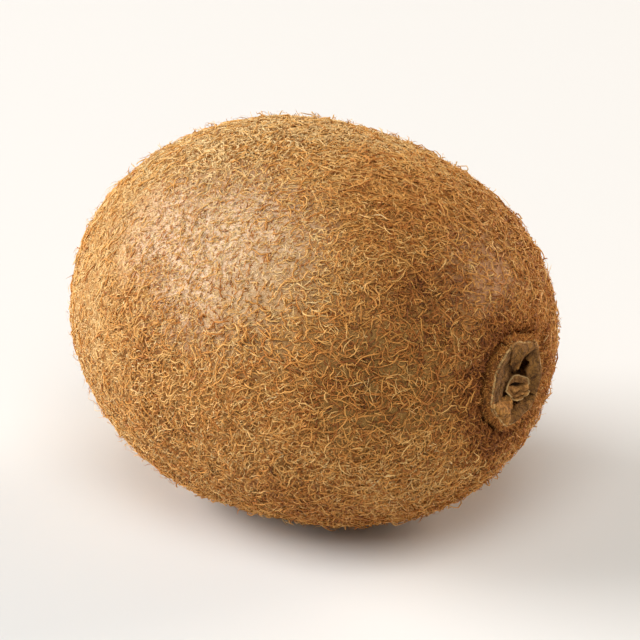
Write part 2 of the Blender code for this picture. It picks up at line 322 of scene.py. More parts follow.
def skinMaterial():
    colours = body["colours"]
    paint = Paint("kiwiSkin")
    where = paint.place()
    along = paint.split(where)

    def near(name):
        middle, reach = patches[name]
        return (paint.distance(where, middle) / reach).between(patchEdge, patchEdge - 1)

    base = paint.mottle(0.009, 3, colours["brown"], colours["light"])
    thin = near("thin").most(near("thinSide"))
    # pale tan skin in the thin patches: partly its own colour, partly a painted highlight
    base = paint.mix(thin * 0.9, base, colours["tan"])
    base = paint.mix(along.between(-0.004, -0.016) * 0.7, base, colours["gold"])  # the blossom half
    base = paint.mix(near("field") * 0.6, base, colours["field"])
    # rosy skin where the coat is bare, partly a painted sheen
    base = paint.mix(near("bare") * 0.9, base, colours["rose"])
    olive = near("olive").most(near("oliveBack"))
    blotches = paint.clouds(0.006, 2).between(0.55, 0.75)
    base = paint.mix(olive * 0.75 + blotches * 0.35, base, colours["olive"])
    pits = paint.cells(0.0011).between(0.34, 0.12) * paint.clouds(0.0021, 2).between(0.42, 0.6)
    base = paint.mix(pits * 0.75, base, colours["dark"])
    lines = paint.threads(0.0008, 0.040, where)
    finer = paint.threads(0.0005, 0.045, paint.place(shift=(0.013, 0.021, 0.008)))
    base = paint.mix(lines * 0.55, base, colours["thread"])
    base = paint.mix(finer * 0.45, base, colours["thread"])
    # darker skin in the stem hollow: partly its own colour, partly painted shade of the groove round the calyx
    fromScar = paint.distance(where, (0.0332, 0.0004, 0.0252))
    scar = fromScar.between(0.0092, 0.0062) * along.between(0.028, 0.0300)
    base = paint.mix(scar, base, colours["scar"])
    height = lines * 0.5 + finer * 0.35 - pits * 0.8 + paint.clouds(0.0006, 3) * 0.6
    return paint.finish(
        Base_Color=base,
        Roughness=0.62 - thin * 0.12 + lines * 0.1,
        Specular_IOR_Level=0.25,
        Normal=paint.bump(height, 0.00018, 0.9),
    )


def makeSkin():
    turns = body["turns"]
    angles = np.concatenate([
        np.linspace(np.radians(start), np.radians(stop), rings + 1)[1:] for start, stop, rings in body["bands"]
    ])[:-1]
    spin = np.arange(turns) / turns * math.tau
    x = np.repeat(np.cos(angles), turns)
    across = np.repeat(np.sin(angles), turns)
    y, z = across * np.tile(np.cos(spin), len(angles)), across * np.tile(np.sin(spin), len(angles))
    directions = np.concatenate([[[1.0, 0, 0]], np.stack([x, y, z], 1), [[-1.0, 0, 0]]])
    points = skinAt(directions)
    quads = ringQuads(len(angles), turns, 1)[:, [0, 3, 2, 1]]
    stemFan = fan(0, 1, turns)
    blossomFan = fan(len(points) - 1, len(points) - 1 - turns, turns)[:, [0, 2, 1]]
    caps = np.concatenate([stemFan, blossomFan])
    skin = meshObject("fruitSkin", points, quads, caps, skinMaterial())
    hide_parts("fruit")
    return points[np.concatenate([quads[:, [0, 1, 2]], quads[:, [0, 2, 3]], caps])]


# Zones of the coat, which both the number of hairs and their looks follow

fades = {  # where a zone starts and the length over which it fades in, in metres
    "stem": (0.010, 0.016),  # along the fruit
    "stemHalf": (0.008, 0.014),
    "blossom": (-0.004, -0.012),
    "topStem": (0.001, 0.012),
    "top": (0.040, 0.010),  # by height; the hair on top is painted lighter, as light from above
    "high": (0.042, 0.006),
    "left": (0.004, -0.008),  # sideways, towards -Y
    "rim": (0.0108, -0.0040),  # by the distance from the scar's middle
    "scar": (0.0130, -0.0040),
    "scarThin": (0.0150, -0.0040),
    "collarIn": (0.0057, 0.0008),
    "collarOut": (0.0113, -0.0036),
}
# what each zone adds to the hair's tone; the top's share is painted light from above, and the palest patch's a
# painted highlight
lightness = {"top": 0.25, "low": 0.16, "blossom": 0.17, "mid": 0.12, "paintedHighlight": 0.20, "dark": -0.24}


def fade(values, name):
    start, length = fades[name]
    return smooth((values - start) / length)


def stemReach(points):  # distance from the scar's middle for points on the stem end, and 1 for all others
    middle = body["centre"][1:] + body["scar"]
    reach = np.hypot(points[:, 1] - middle[0], points[:, 2] - middle[1])
    return np.where(points[:, 0] > 0.02, reach, 1.0)


def zoned(amounts, zone):  # the sum of what each named zone adds
    return sum(amount * zone[name] for name, amount in amounts.items())


def lessIn(amounts, zone):  # a factor that each named zone makes smaller
    factor = 1.0
    for name, amount in amounts.items():
        factor = factor * (1 - amount * zone[name])
    return factor


def zonesOf(points):  # how far each point is inside each zone, 0 to 1
    x, y, z = points.T
    reach = stemReach(points)
    olive = patch(points, "olive", "oliveBack")
    dark = np.maximum(patch(points, "dusk", "under", "underBack"), 0.8 * olive)
    zone = {
        "all": 1.0,
        "thin": patch(points, "thin", "thinSide", "thinBack"),
        "olive": olive,
        "bare": patch(points, "bare"),
        "field": patch(points, "field"),
        "open": patch(points, "bare", "field"),
        "low": patch(points, "low"),
        "mid": patch(points, "mid"),
        "paintedHighlight": patch(points, "paintedHighlight"),
        "stem": fade(x, "stem"),
        "stemHalf": fade(x, "stemHalf"),
        "blossom": fade(x, "blossom"),
        # the top, where the hair is painted lighter as light from above
        "top": fade(z, "top") * (1 - 0.5 * fade(x, "topStem")),
        "high": fade(z, "high"),
        "rim": fade(reach, "rim"),
        # darker hair round the scar, more on its left: partly its dark collar, partly painted shade of the hollow
        "scar": fade(reach, "scar") * (0.04 + 0.16 * fade(y, "left")),
        "scarThin": fade(reach, "scarThin"),
        "dark": np.maximum(dark, 0.75 * patch(points, "duskTop", "duskSide")),
    }
    zone["messy"] = np.maximum(zone["stem"], 0.7 * zone["high"])  # where hairs point every way
    zone["light"] = zoned(lightness, zone)
    return zone


# Hair: real strands, with all sizes in metres and angles in radians

hair = {
    "combing": (54, 25),  # degrees from the axis on the sides, and more on top
    "taper": 0.7,  # share of its width that a strand loses to its tip
    "rootDepth": 0.00008,
    "clearance": 0.00005,  # least height over the skin
    "overFloor": 0.0001,
    "felt": {  # short kinked hairs that lie close
        "count": 99000,
        "rows": 4,
        "pieces": 3,
        "sparse": {"olive": 0.65, "open": 0.55},  # share of hairs that are left out
        "mostSparse": 0.7,
        "spread": 0.38,  # of the direction round the combing
        "loose": {"all": 0.16, "messy": 0.60},  # share of hairs that point any way
        "length": {"all": 0.00105, "stem": 0.0004, "thin": -0.00035, "blossom": -0.00022},
        "curl": {"all": 1.1, "stem": 1.0},
        "kink": 0.65,
        "lift": {"all": 0.00018, "stem": 0.00007, "blossom": -0.00012},
        "lessLift": {"thin": 0.3},
        "mostLift": 0.0008,
        "dark": {"all": 0.17, "thin": 0.12, "blossom": -0.16, "high": -0.12},  # share of dark hairs
        "darkTone": 0.34,
        # hair lighter in the thin patches, partly a painted highlight
        "tone": {"all": 0.66, "thin": 0.20},
        "toneSpread": {"all": 0.13, "blossom": -0.09, "high": -0.04},
        "shade": {"all": 0.07, "stem": -0.18, "light": 1, "scar": -1},
        "width": (0.00012, 0.00019),
        "lessWidth": {"thin": 0.28, "blossom": 0.3},
        "roll": 1.1,
    },
    "dashes": {  # short dark strokes on the blossom half, all combed one way: partly dark hairs, partly painted shadows of the hairs
        "count": 3600,
        "rows": 4,
        "spread": 0.30,
        "length": 0.00080,
        "lift": 0.00014,
        "curl": 0.6,
        "kink": 0.28,
        "tone": (0.31, 0.06),
        "width": (0.00013, 0.00019),
        "roll": 0.5,
    },
    "wiry": {  # long threads over them
        "count": 7000,
        "rows": 6,
        "fewer": {"thin": 0.75, "bare": 0.75, "blossom": 0.4},
        "spread": 0.36,
        "loose": {"all": 0.18, "messy": 0.60},
        "length": 0.0027,
        "lessLength": {"thin": 0.3, "field": 0.2},
        "longest": 1.5,  # times that length
        "curl": {"all": 1.0, "stem": 0.9},
        "kink": 0.58,
        "lift": {"all": 0.00040, "blossom": -0.00014},
        "mostLift": 0.0012,
        "tone": (0.62, 0.13),
        "mostTone": 0.86,
        "shade": {"stem": -0.06, "light": 0.5},
        "width": (0.00016, 0.00025),
        "moreWidth": {"field": 0.00007},
    },
    "wisps": {  # fine hairs that stand off the skin
        "count": 4000,
        "rows": 5,
        "length": 0.0019,
        "lift": 0.00085,
        "mostLift": 0.0013,
        "curl": 1.6,
        "kink": 0.40,
        "tone": (0.72, 0.10),
        "width": (0.00007, 0.00011),
        "roll": 1.1,
    },
    "collar": {  # dark hair round the scar
        "count": 3300,
        "rows": 6,
        "length": {"all": 0.0022, "rim": -0.0011},
        "curl": 1.8,
        "kink": 0.5,
        "lift": {"all": 0.00045, "rim": -0.00008},
        "mostLift": 0.0011,
        "tone": (0.52, 0.13),
        "shade": {"rim": -0.08, "scar": -1},
        "width": (0.00011, 0.00018),
    },
    "tones": [  # colour by tone, 0 dark to 1 light
        (0.00, (0.100, 0.028, 0.008)),
        (0.22, (0.320, 0.102, 0.024)),
        (0.42, (0.590, 0.228, 0.050)),
        (0.62, (0.790, 0.388, 0.098)),
        (0.82, (0.890, 0.555, 0.205)),
        (1.00, (0.930, 0.680, 0.345)),
    ],
    "rootToTip": [  # what that colour is multiplied by along a strand
        (0.0, (0.42, 0.38, 0.34)),
        (0.3, (0.86, 0.85, 0.83)),
        (1.0, (1.0, 1.0, 1.0)),
    ],
}
dice = np.random.default_rng(41)


def uneven(shape, count):  # random factors round 1, the closer to it the higher the shape
    return dice.gamma(shape, 1 / shape, count)


def anyTurn(count):
    return dice.uniform(0, math.tau, count)


def scatter(faces, count, weight):  # roots on the skin, at random by area and weight
    area = np.linalg.norm(np.cross(faces[:, 1] - faces[:, 0], faces[:, 2] - faces[:, 0]), axis=1)
    chance = area * weight(faces.mean(1))
    picked = faces[dice.choice(len(faces), count, p=chance / chance.sum())]
    a, b = dice.random((2, count, 1))
    fold = a + b > 1
    a, b = np.where(fold, 1 - a, a), np.where(fold, 1 - b, b)
    return picked[:, 0] + a * (picked[:, 1] - picked[:, 0]) + b * (picked[:, 2] - picked[:, 0])


def growPaths(roots, heading, length, curl, lift, loose, look):  # along the skin
    rows = look["rows"]
    at, turn = roots, heading
    normal = skinFrame(at)[1]
    paths = [at - normal * hair["rootDepth"]]
    for row in range(1, rows):
        share = row / (rows - 1)
        here, normal, along, around = skinFrame(at)
        step = np.cos(turn)[:, None] * along + np.sin(turn)[:, None] * around
        at, normal = skinFrame(here + step * (length / (rows - 1))[:, None])[:2]
        # a loose hair ends in the air, and any other comes back to the skin
        rise = lift * (loose * share**1.2 + (1 - loose) * np.sin(math.pi * share**0.75))
        rise = rise * dice.uniform(0.75, 1.2, len(roots)) + hair["clearance"]
        point = at + normal * rise[:, None]
        point[:, 2] = np.maximum(point[:, 2], hair["overFloor"])
        paths.append(point)
        turn = turn + curl / (rows - 1) + look["kink"] * dice.normal(0, 1, len(roots))
    return np.stack(paths, 1)


def growFree(roots, ahead, length, kink, rows):  # out into the air
    at, ahead = roots, unit(ahead)
    paths = [at]
    for _ in range(1, rows):
        at = at + ahead * (length / (rows - 1))[:, None]
        paths.append(at)
        ahead = unit(ahead + kink * dice.normal(0, 1, ahead.shape))
    return np.stack(paths, 1)


def strandMesh(name, paths, width, tone, roll, corners, material):  # flat (2 corners) or round (3)
    count, rows = paths.shape[:2]
    ahead = unit(np.gradient(paths, axis=1))
    side = unit(np.cross(ahead, unit(paths - body["centre"])))
    up = np.cross(side, ahead)
    share = np.linspace(0, 1, rows)
    radius = (width / 2)[:, None, None] * (1 - hair["taper"] * share**2)[None, :, None]
    turns = roll[:, None, None] + np.arange(corners) / corners * math.tau
    rings = [
        paths + radius * (np.cos(turns[..., k : k + 1]) * side + np.sin(turns[..., k : k + 1]) * up)
        for k in range(corners)
    ]
    points = np.concatenate([np.stack(rings, 2)[:, :-1].reshape(count, -1, 3), paths[:, -1:]], 1)
    points[..., 2] = np.maximum(points[..., 2], 0.00002)
    step = np.arange(1 if corners == 2 else corners)
    after = (step + 1) % corners
    ring = np.arange(rows - 2)[:, None] * corners
    quads = np.stack([ring + step, ring + after, ring + corners + after, ring + corners + step], -1).reshape(-1, 4)
    last = corners * (rows - 2)
    tips = np.stack([last + step, last + after, np.full(len(step), last + corners)], -1)
    first = np.arange(count)[:, None, None] * points.shape[1]
    allQuads, allTips = (quads + first).reshape(-1, 4), (tips + first).reshape(-1, 3)
    made = meshObject(name, points.reshape(-1, 3), allQuads, allTips, material)
    # its map: u along the strand, and v its tone and a narrow band round it
    band = 0.03
    quadU = share[quads // corners]
    quadV = np.tile(np.stack([step, step + 1, step + 1, step], -1) / len(step), (rows - 2, 1))
    tipU = np.tile([share[rows - 2], share[rows - 2], 1.0], (len(step), 1))
    tipV = np.stack([step, step + 1, step + 0.5], -1) / len(step)
    base = np.clip(tone, 0, 1)[:, None, None] * (1 - band)
    quadMap = np.stack(np.broadcast_arrays(quadU, quadV * band + base), -1).reshape(-1, 2)
    tipMap = np.stack(np.broadcast_arrays(tipU, tipV * band + base), -1).reshape(-1, 2)
    addMap(made, "OFBake", np.concatenate([quadMap, tipMap]))


def hairMaterial():
    paint = Paint("kiwiHair")
    where = paint.split(paint.node("ShaderNodeUVMap", {"uv_map": "OFBake"}))
    tone = paint.ramp(where.also("Y"), hair["tones"])
    shade = paint.ramp(where, hair["rootToTip"])
    return paint.finish(
        Base_Color=paint.mix(1.0, tone, shade, "MULTIPLY"),
        Roughness=0.55,
        Specular_IOR_Level=0.2,
    )


def combing(points):  # which way the hair lies: towards the stem end on the sides, more round the fruit on top
    sides, more = hair["combing"]
    return np.radians(sides + more * np.clip(directionOf(points)[:, 2], 0, 1))


def headings(roots, zone, look):  # to and fro along the combing, apart from the loose share
    count = len(roots)
    combed = combing(roots) + dice.normal(0, look["spread"], count) + (dice.random(count) < 0.5) * math.pi
    return np.where(dice.random(count) < zoned(look["loose"], zone), anyTurn(count), combed)


def feltCoat(faces, material):
    look = hair["felt"]
    count = look["count"]

    def weight(points):
        zone = zonesOf(points)
        sparse = np.minimum(zoned(look["sparse"], zone), look["mostSparse"])
        outside = stemReach(points) > body["lip"] * 0.95
        return (1 + 0.05 * zone["thin"]) * (1 - sparse) * (1 - 0.35 * zone["scarThin"]) * outside

    roots = scatter(faces, count, weight)
    zone = zonesOf(roots)
    heading = headings(roots, zone, look)
    length = uneven(5, count) * zoned(look["length"], zone)
    curl = dice.normal(0, zoned(look["curl"], zone), count)
    lift = uneven(2.2, count) * zoned(look["lift"], zone) * lessIn(look["lessLift"], zone)
    lift = np.minimum(lift, look["mostLift"])
    paths = growPaths(roots, heading, length, curl, lift, dice.random(count) ** 2, look)
    dark = dice.random(count) < zoned(look["dark"], zone)
    spread = dice.normal(0, 1, count) * zoned(look["toneSpread"], zone)
    tone = np.where(dark, look["darkTone"] + spread * 0.5, zoned(look["tone"], zone) + spread)
    tone = tone + zoned(look["shade"], zone)
    width = dice.uniform(*look["width"], count) * lessIn(look["lessWidth"], zone)
    roll = dice.uniform(-look["roll"], look["roll"], count)
    for number in range(look["pieces"]):
        part = slice(number, None, look["pieces"])
        strandMesh(f"feltHair{number + 1}", paths[part], width[part], tone[part], roll[part], 2, material)


def dashCoat(faces, material):
    look = hair["dashes"]
    count = look["count"]

    def weight(points):
        zone = zonesOf(points)
        return (0.35 + zone["thin"]) * (1 - zone["stemHalf"])

    roots = scatter(faces, count, weight)
    heading = combing(roots) + dice.normal(0, look["spread"], count)
    length = uneven(6, count) * look["length"]
    lift = uneven(3, count) * look["lift"]
    curl = dice.normal(0, look["curl"], count)
    paths = growPaths(roots, heading, length, curl, lift, dice.random(count) ** 2, look)
    tone = dice.normal(*look["tone"], count)
    width = dice.uniform(*look["width"], count)
    roll = dice.uniform(-look["roll"], look["roll"], count)
    strandMesh("dashHair", paths, width, tone, roll, 2, material)


def wiryCoat(faces, material):
    look = hair["wiry"]
    count = look["count"]

    def weight(points):
        zone = zonesOf(points)
        more = 1 + np.maximum(zone["olive"], 0.6 * zone["field"])
        return lessIn(look["fewer"], zone) * more * (stemReach(points) > body["lip"] * 1.02)

    roots = scatter(faces, count, weight)
    zone = zonesOf(roots)
    heading = headings(roots, zone, look)
    length = np.minimum(uneven(6, count), look["longest"]) * look["length"] * lessIn(look["lessLength"], zone)
    curl = dice.normal(0, zoned(look["curl"], zone), count)
    lift = np.minimum(uneven(2.5, count) * zoned(look["lift"], zone), look["mostLift"])
    paths = growPaths(roots, heading, length, curl, lift, dice.random(count), look)
    tone = np.minimum(dice.normal(*look["tone"], count), look["mostTone"]) + zoned(look["shade"], zone)
    width = dice.uniform(*look["width"], count) + zoned(look["moreWidth"], zone)
    strandMesh("wiryHair1", paths, width, tone, anyTurn(count), 3, material)


def wispCoat(faces, material):
    look = hair["wisps"]
    count = look["count"]
    roots = scatter(faces, count, lambda points: stemReach(points) > body["lip"] * 1.1)
    length = uneven(7, count) * look["length"]
    lift = np.minimum(uneven(4, count) * look["lift"], look["mostLift"])
    heading = anyTurn(count)
    curl = dice.normal(0, look["curl"], count)
    paths = growPaths(roots, heading, length, curl, lift, dice.uniform(0.6, 1, count), look)
    tone = dice.normal(*look["tone"], count)
    width = dice.uniform(*look["width"], count)
    roll = dice.uniform(-look["roll"], look["roll"], count)
    strandMesh("wispHair", paths, width, tone, roll, 2, material)


def scarCollar(faces, material):
    look = hair["collar"]
    count = look["count"]

    def weight(points):
        reach = stemReach(points)
        return fade(reach, "collarIn") * fade(reach, "collarOut")

    roots = scatter(faces, count, weight)
    zone = zonesOf(roots)
    heading = anyTurn(count)
    length = uneven(7, count) * zoned(look["length"], zone)
    curl = dice.normal(0, look["curl"], count)
    lift = np.minimum(uneven(2.5, count) * zoned(look["lift"], zone), look["mostLift"])
    paths = growPaths(roots, heading, length, curl, lift, dice.random(count), look)
    tone = dice.normal(*look["tone"], count) + zoned(look["shade"], zone)
    width = dice.uniform(*look["width"], count)
    strandMesh("collarHair", paths, width, tone, anyTurn(count), 3, material)


# Calyx: the ring of dried sepals

calyx = {
    "middle": (0.0002, 0.0252),  # y and z of its own middle
    "inner": (0.0007, 0.0244),  # where its sepals fold in to
    "tall": 1.06,
    "back": 0.0323,  # x of its underside
    # radius and height in mm, from a sepal's foot over its rim and in
    "path": [(5.0, -0.5), (5.4, 0.7), (5.5, 1.6), (5.05, 2.3), (4.2, 2.05), (3.0, 1.5), (1.5, 1.35)],
    "cover": (0.62, 0.38),  # share of the path that a sepal covers: at least, and more with its fold
    "sepals": [  # middle angle and half width in degrees, fold in, rim lift in mm, tone 0 olive to 1 tan
        {"at": 151, "half": 63, "fold": 1.00, "lift": 0.00, "tone": 0.10, "ends": 0.00, "puff": -0.10, "skew": -26},
        {"at": 74, "half": 34, "fold": 0.84, "lift": 0.10, "tone": 0.35, "ends": 0.50, "puff": 0.50, "skew": 14},
        {"at": 7, "half": 45, "fold": 0.66, "lift": 0.15, "tone": 0.15, "ends": 0.25, "puff": 0.30, "skew": 0},
        {"at": 220, "half": 28, "fold": 0.98, "lift": 0.20, "tone": 1.00, "ends": 0.22, "puff": 0.85, "skew": 8},
        {"at": 286, "half": 38, "fold": 0.50, "lift": -0.05, "tone": 0.35, "ends": 0.30, "puff": 0.10, "skew": 10},
    ],
    "crumple": (0.10, 0.48),  # mm on the outside, and more inside
    "ridge": 0.10,
    "wave": 0.45,
    "lap": (0.20, 0.22),  # one side of a sepal over the next: outwards at the foot, upwards at the tip
    "droop": 0.30,
    "thickness": 0.00026,
    "across": 40,
    "along": 40,
    "fuzz": {"count": 2200, "from": 0.06, "to": 0.46, "length": 0.00070, "tone": (0.45, 0.13)},
    "colours": {
        "outer": ((0.150, 0.050, 0.010), (0.380, 0.150, 0.030)),
        "olive": ((0.085, 0.035, 0.008), (0.275, 0.128, 0.032)),
        "tan": ((0.270, 0.108, 0.020), (0.480, 0.222, 0.050)),
        "edge": (0.640, 0.400, 0.160),
        # crease: painted shade in the sepals' creases
        "crease": (0.040, 0.017, 0.005),
        "stain": (0.050, 0.022, 0.006),
    },
}


def pathPoint(points, share):  # a smooth curve through the points
    place = share * (len(points) - 1)
    start = min(int(place), len(points) - 2)
    t = place - start
    before, a, b, after = (Vector(points[min(max(start + k, 0), len(points) - 1)]) for k in (-1, 0, 1, 2))
    leave, arrive = (b - before) / 2, (after - a) / 2
    bend = (2 * t**3 - 3 * t**2 + 1) * a + (3 * t**2 - 2 * t**3) * b
    return bend + (t**3 - 2 * t**2 + t) * leave + (t**3 - t**2) * arrive


def sepalPoint(number, share, across):  # share runs from the foot over the rim and in, across from -1 to 1
    sepal = calyx["sepals"][number]
    past = max(0.0, share - 0.5) * 2  # how far past the rim
    radius, height = pathPoint(calyx["path"], share)
    turn = math.radians(sepal["at"] + sepal["half"] * across * (1 - sepal["ends"] * past**1.3))
    turn += math.radians(sepal["skew"]) * past**1.5
    spot = Vector((across * 1.6, share * 4.2, 0)) + Vector((number * 7.3, 2.1, 0.4))
    outside, inside = calyx["crumple"]
    crumple = noise.fractal(spot * 1.5, 0.8, 2.0, 3) * (outside + inside * past)
    ridge = math.sin(across * 7.5 + number) * calyx["ridge"] * (0.3 + past)
    wave = noise.noise(Vector((turn * 1.9, 4.0, 1.0))) * calyx["wave"]
    radius += crumple * 0.6 + calyx["lap"][0] * across * (1 - past) + wave
    height += crumple * 0.9 + ridge + sepal["lift"] * min(1, 2 * share) + calyx["lap"][1] * across * past
    height += sepal["puff"] * (1 - across**2) * math.sin(math.pi * past) - calyx["droop"] * past * across * across
    middleY, middleZ = np.array(calyx["middle"]) * (1 - past) + np.array(calyx["inner"]) * past
    return (
        calyx["back"] + height * 0.001,
        middleY + radius * 0.001 * math.cos(turn),
        middleZ + radius * 0.001 * math.sin(turn) * calyx["tall"],
    )


def sepalMaterial():
    colours = calyx["colours"]
    paint = Paint("driedSepal")
    tone = paint.split(paint.node("ShaderNodeUVMap", {"uv_map": "sepalMap"}))
    along = tone.also("Y")
    outer = paint.mottle(0.0009, 3, *colours["outer"])
    inner = paint.mix(tone, paint.mottle(0.0011, 4, *colours["olive"]), paint.mottle(0.0008, 3, *colours["tan"]))
    base = paint.mix((along + paint.clouds(0.0007, 2) * 0.08).between(0.44, 0.52), outer, inner)
    edge = abs(along - 0.50 + paint.clouds(0.0012, 2) * 0.05).between(0.030, 0.010)
    edge = edge * paint.clouds(0.0016, 2).between(0.30, 0.5)
    base = paint.mix(edge * 0.9, base, colours["edge"])
    creases = paint.threads(0.0010, 0.06)
    # painted shade in the creases
    base = paint.mix(creases * 0.5, base, colours["crease"])
    base = paint.mix(paint.clouds(0.0022, 3).between(0.56, 0.70) * 0.6, base, colours["stain"])
    height = paint.clouds(0.0005, 4, 0.6) - creases * 0.5
    return paint.finish(
        Base_Color=base,
        Roughness=0.75,
        Specular_IOR_Level=0.2,
        Normal=paint.bump(height, 0.00018),
    )


def makeCalyx():
    rows, columns = calyx["along"], calyx["across"]
    least, more = calyx["cover"]
    points, quads, maps = [], [], []
    for number, sepal in enumerate(calyx["sepals"]):
        first = len(points)
        for row in range(rows + 1):
            for column in range(columns + 1):
                across = column / columns * 2 - 1
                tongue = 1 - 0.30 * abs(across) ** 2.5 + 0.10 * noise.noise(Vector((across * 4, number * 3.7, 9)))
                share = row / rows * (least + more * sepal["fold"] * tongue)
                points.append(sepalPoint(number, share, across))
                maps.append((sepal["tone"], share))
        for row in range(rows):
            for column in range(columns):
                a = first + row * (columns + 1) + column
                quads.append((a, a + 1, a + columns + 2, a + columns + 1))
    points, quads, maps = np.array(points), np.array(quads), np.array(maps)
    ring = meshObject("driedCalyx", points, quads, np.zeros((0, 3), int), sepalMaterial())
    addMap(ring, "sepalMap", maps[quads.ravel()])
    thick = ring.modifiers.new("Thickness", "SOLIDIFY")
    thick.thickness = calyx["thickness"]
    thick.offset = 0
    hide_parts("calyx")


def calyxFuzz(material):  # short hairs on the outside of the sepals, up to the rim
    look = calyx["fuzz"]
    count = look["count"]
    picks = dice.integers(0, len(calyx["sepals"]), count)
    shares = dice.uniform(look["from"], look["to"], count)
    places = dice.uniform(-1, 1, count)
    roots = np.array([sepalPoint(*pick) for pick in zip(picks, shares, places)])
    out = roots - np.array([0, *calyx["middle"]])
    out[:, 0] = 0
    ahead = unit(unit(out) + dice.normal(0, 0.5, (count, 3)) + np.array([0.55, 0, 0]))
    length = uneven(7, count) * look["length"]
    paths = growFree(roots, ahead, length, 0.35, 5)
    tone = dice.normal(*look["tone"], count)
    width = dice.uniform(0.00008, 0.00012, count)
    strandMesh("calyxFuzz", paths, width, tone, anyTurn(count), 3, material)


# Stem stub: the broken end of the stem

stub = {
    "foot": (0.0319, 0.0008, 0.0243),
    "lean": (1.0, 0.02, -0.02),  # its own axis
    "slant": (0.34, -0.18),  # how the break rises to the right and upwards
    "radius": 0.00166,
    "wide": 1.05,  # its width over its height
    "height": 0.00255,
    "split": (0.00115, 0.00026, 0.00075),  # half length, half width and depth
    "bulge": 0.00022,  # of the lower part of the break
    "rough": 0.00016,
    "turns": 72,
    "rows": 44,
    "wall": 0.36,  # share of the rows on its side
    "colours": {
        "bark": ((0.100, 0.040, 0.009), (0.200, 0.090, 0.022)),
        "wood": ((0.190, 0.078, 0.018), (0.420, 0.200, 0.055)),
        "rim": (0.560, 0.360, 0.150),
        # crack: painted shade in the cracks, the slot and above the split, and random darker patches on the side
        "crack": (0.030, 0.013, 0.005),
    },
}


def stubMaterial():
    colours = stub["colours"]
    paint = Paint("brokenStem")
    share = paint.split(paint.node("ShaderNodeUVMap", {"uv_map": "stubMap"}))
    bark = paint.mottle(0.0005, 3, *colours["bark"])
    wood = paint.mottle(0.0006, 3, *colours["wood"])
    base = paint.mix(share.between(0.36, 0.42), bark, wood)
    base = paint.mix(abs(share - 0.39).between(0.05, 0.02) * 0.8, base, colours["rim"])
    # painted shade in the cracks, the slot and above the split; on the side, random darker patches
    base = paint.mix(share.also("Y"), base, colours["crack"])
    return paint.finish(
        Base_Color=base,
        Roughness=0.78,
        Specular_IOR_Level=0.2,
        Normal=paint.bump(paint.clouds(0.0002, 3, 0.6), 0.00012),
    )


def brokenFace(right, up, inward):  # drop of the break, and how dark it is there
    halfLong, halfWide, depth = stub["split"]
    cell = noise.voronoi(Vector((right * 800 + 0.4, up * 1000, 3.0)))[0]
    seam = 1 - min(1.0, (cell[1] - cell[0]) / 0.22)
    lower = min(1.0, max(0.0, (0.0001 - up) / 0.0005))
    middle = 0.00034 + 0.00022 * noise.noise(Vector((right * 1300, 5.0, 2.0))) - 0.26 * right
    gap = halfWide * (1 - (right / halfLong) ** 2) - abs(up - middle)
    slot = min(1.0, max(0.0, 0.5 + gap / 0.00016))
    crack = max(seam * lower * 0.5, slot)
    shade = max(crack, 0.35 * min(1.0, max(0.0, (up - middle) / 0.0003)))  # darker above the split: painted shade of the break's hollow top
    bulge = stub["bulge"] * (1 - (2 * inward - 0.6) ** 2) * lower
    rough = stub["rough"] * noise.fractal(Vector((right * 1800, up * 1800, 1.0)), 0.8, 2.0, 3)
    return depth * crack - bulge - rough, shade


def makeStub():
    axis = Vector(stub["lean"]).normalized()
    side = Vector((0, 0, 1)).cross(axis).normalized()  # about +Y
    above = axis.cross(side)
    turns, rows = stub["turns"], stub["rows"]
    points, maps = [], []
    for row in range(rows + 1):
        share = row / rows
        wall = min(share / stub["wall"], 1.0)  # the side, then the broken face
        inward = max(0.0, share - stub["wall"]) / (1 - stub["wall"])
        for k in range(turns):
            turn = k / turns * math.tau
            spot = Vector((math.cos(turn) * 1.5, math.sin(turn) * 1.5, wall * 2.2))
            radius = stub["radius"] * (1.10 - 0.16 * math.sin(wall * 2.6)) * (1 + 0.10 * noise.noise(spot))
            radius *= 1 - 0.05 * (1 + math.cos(5 * turn)) * 0.5
            radius *= 1 - inward
            right, up = radius * stub["wide"] * math.cos(turn), radius * math.sin(turn)
            height = stub["height"] * wall + (stub["slant"][0] * right + stub["slant"][1] * up) * wall
            if inward > 0:
                drop, shade = brokenFace(right, up, inward)
                height -= drop
            else:
                shade = 0.35 * max(0.0, noise.noise(Vector((turn * 3.1, wall * 1.2, 7.0))))
            points.append(Vector(stub["foot"]) + axis * height + side * right + above * up)
            maps.append((share, shade))
    points.append(sum(points[-turns:], Vector()) / turns)
    maps.append((1.0, 0.2))
    points, maps = np.array([tuple(point) for point in points]), np.array(maps)
    quads = ringQuads(rows, turns)
    tips = fan(len(points) - 1, (rows - 1) * turns, turns)
    made = meshObject("brokenStem", points, quads, tips, stubMaterial())
    addMap(made, "stubMap", maps[np.concatenate([quads.ravel(), tips.ravel()])])
    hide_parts("stem_stub")


# Style tuft: the button and its withered styles at the blossom end

tuft = {
    "middle": (-0.0001, 0.0251),
    "profile": [(2.45, 0.0), (2.35, 0.45), (1.9, 0.85), (1.3, 1.0), (0.7, 0.85), (0.2, 0.8)],  # mm: radius, height
    "face": -0.0322,  # x where the button meets the skin
    "crown": 0.00078,  # height of the button's middle
    "lumps": 0.16,  # mm
    "ribs": 0.06,
    "turns": 72,
    "rows": 30,
    "styles": 38,
    "whorls": 5.08,  # turns that the styles make round the middle
    "styleLength": (0.0014, 0.0024),
    "styleWidth": (0.00026, 0.00036),
    "styleTone": (0.16, 0.07),
    "end": -0.0347,  # x that no style reaches past
    "colours": {
        "button": ((0.070, 0.030, 0.012), (0.260, 0.130, 0.050)),
        # crease: painted shade in the button's creases
        "crease": (0.030, 0.014, 0.007),
    },
}


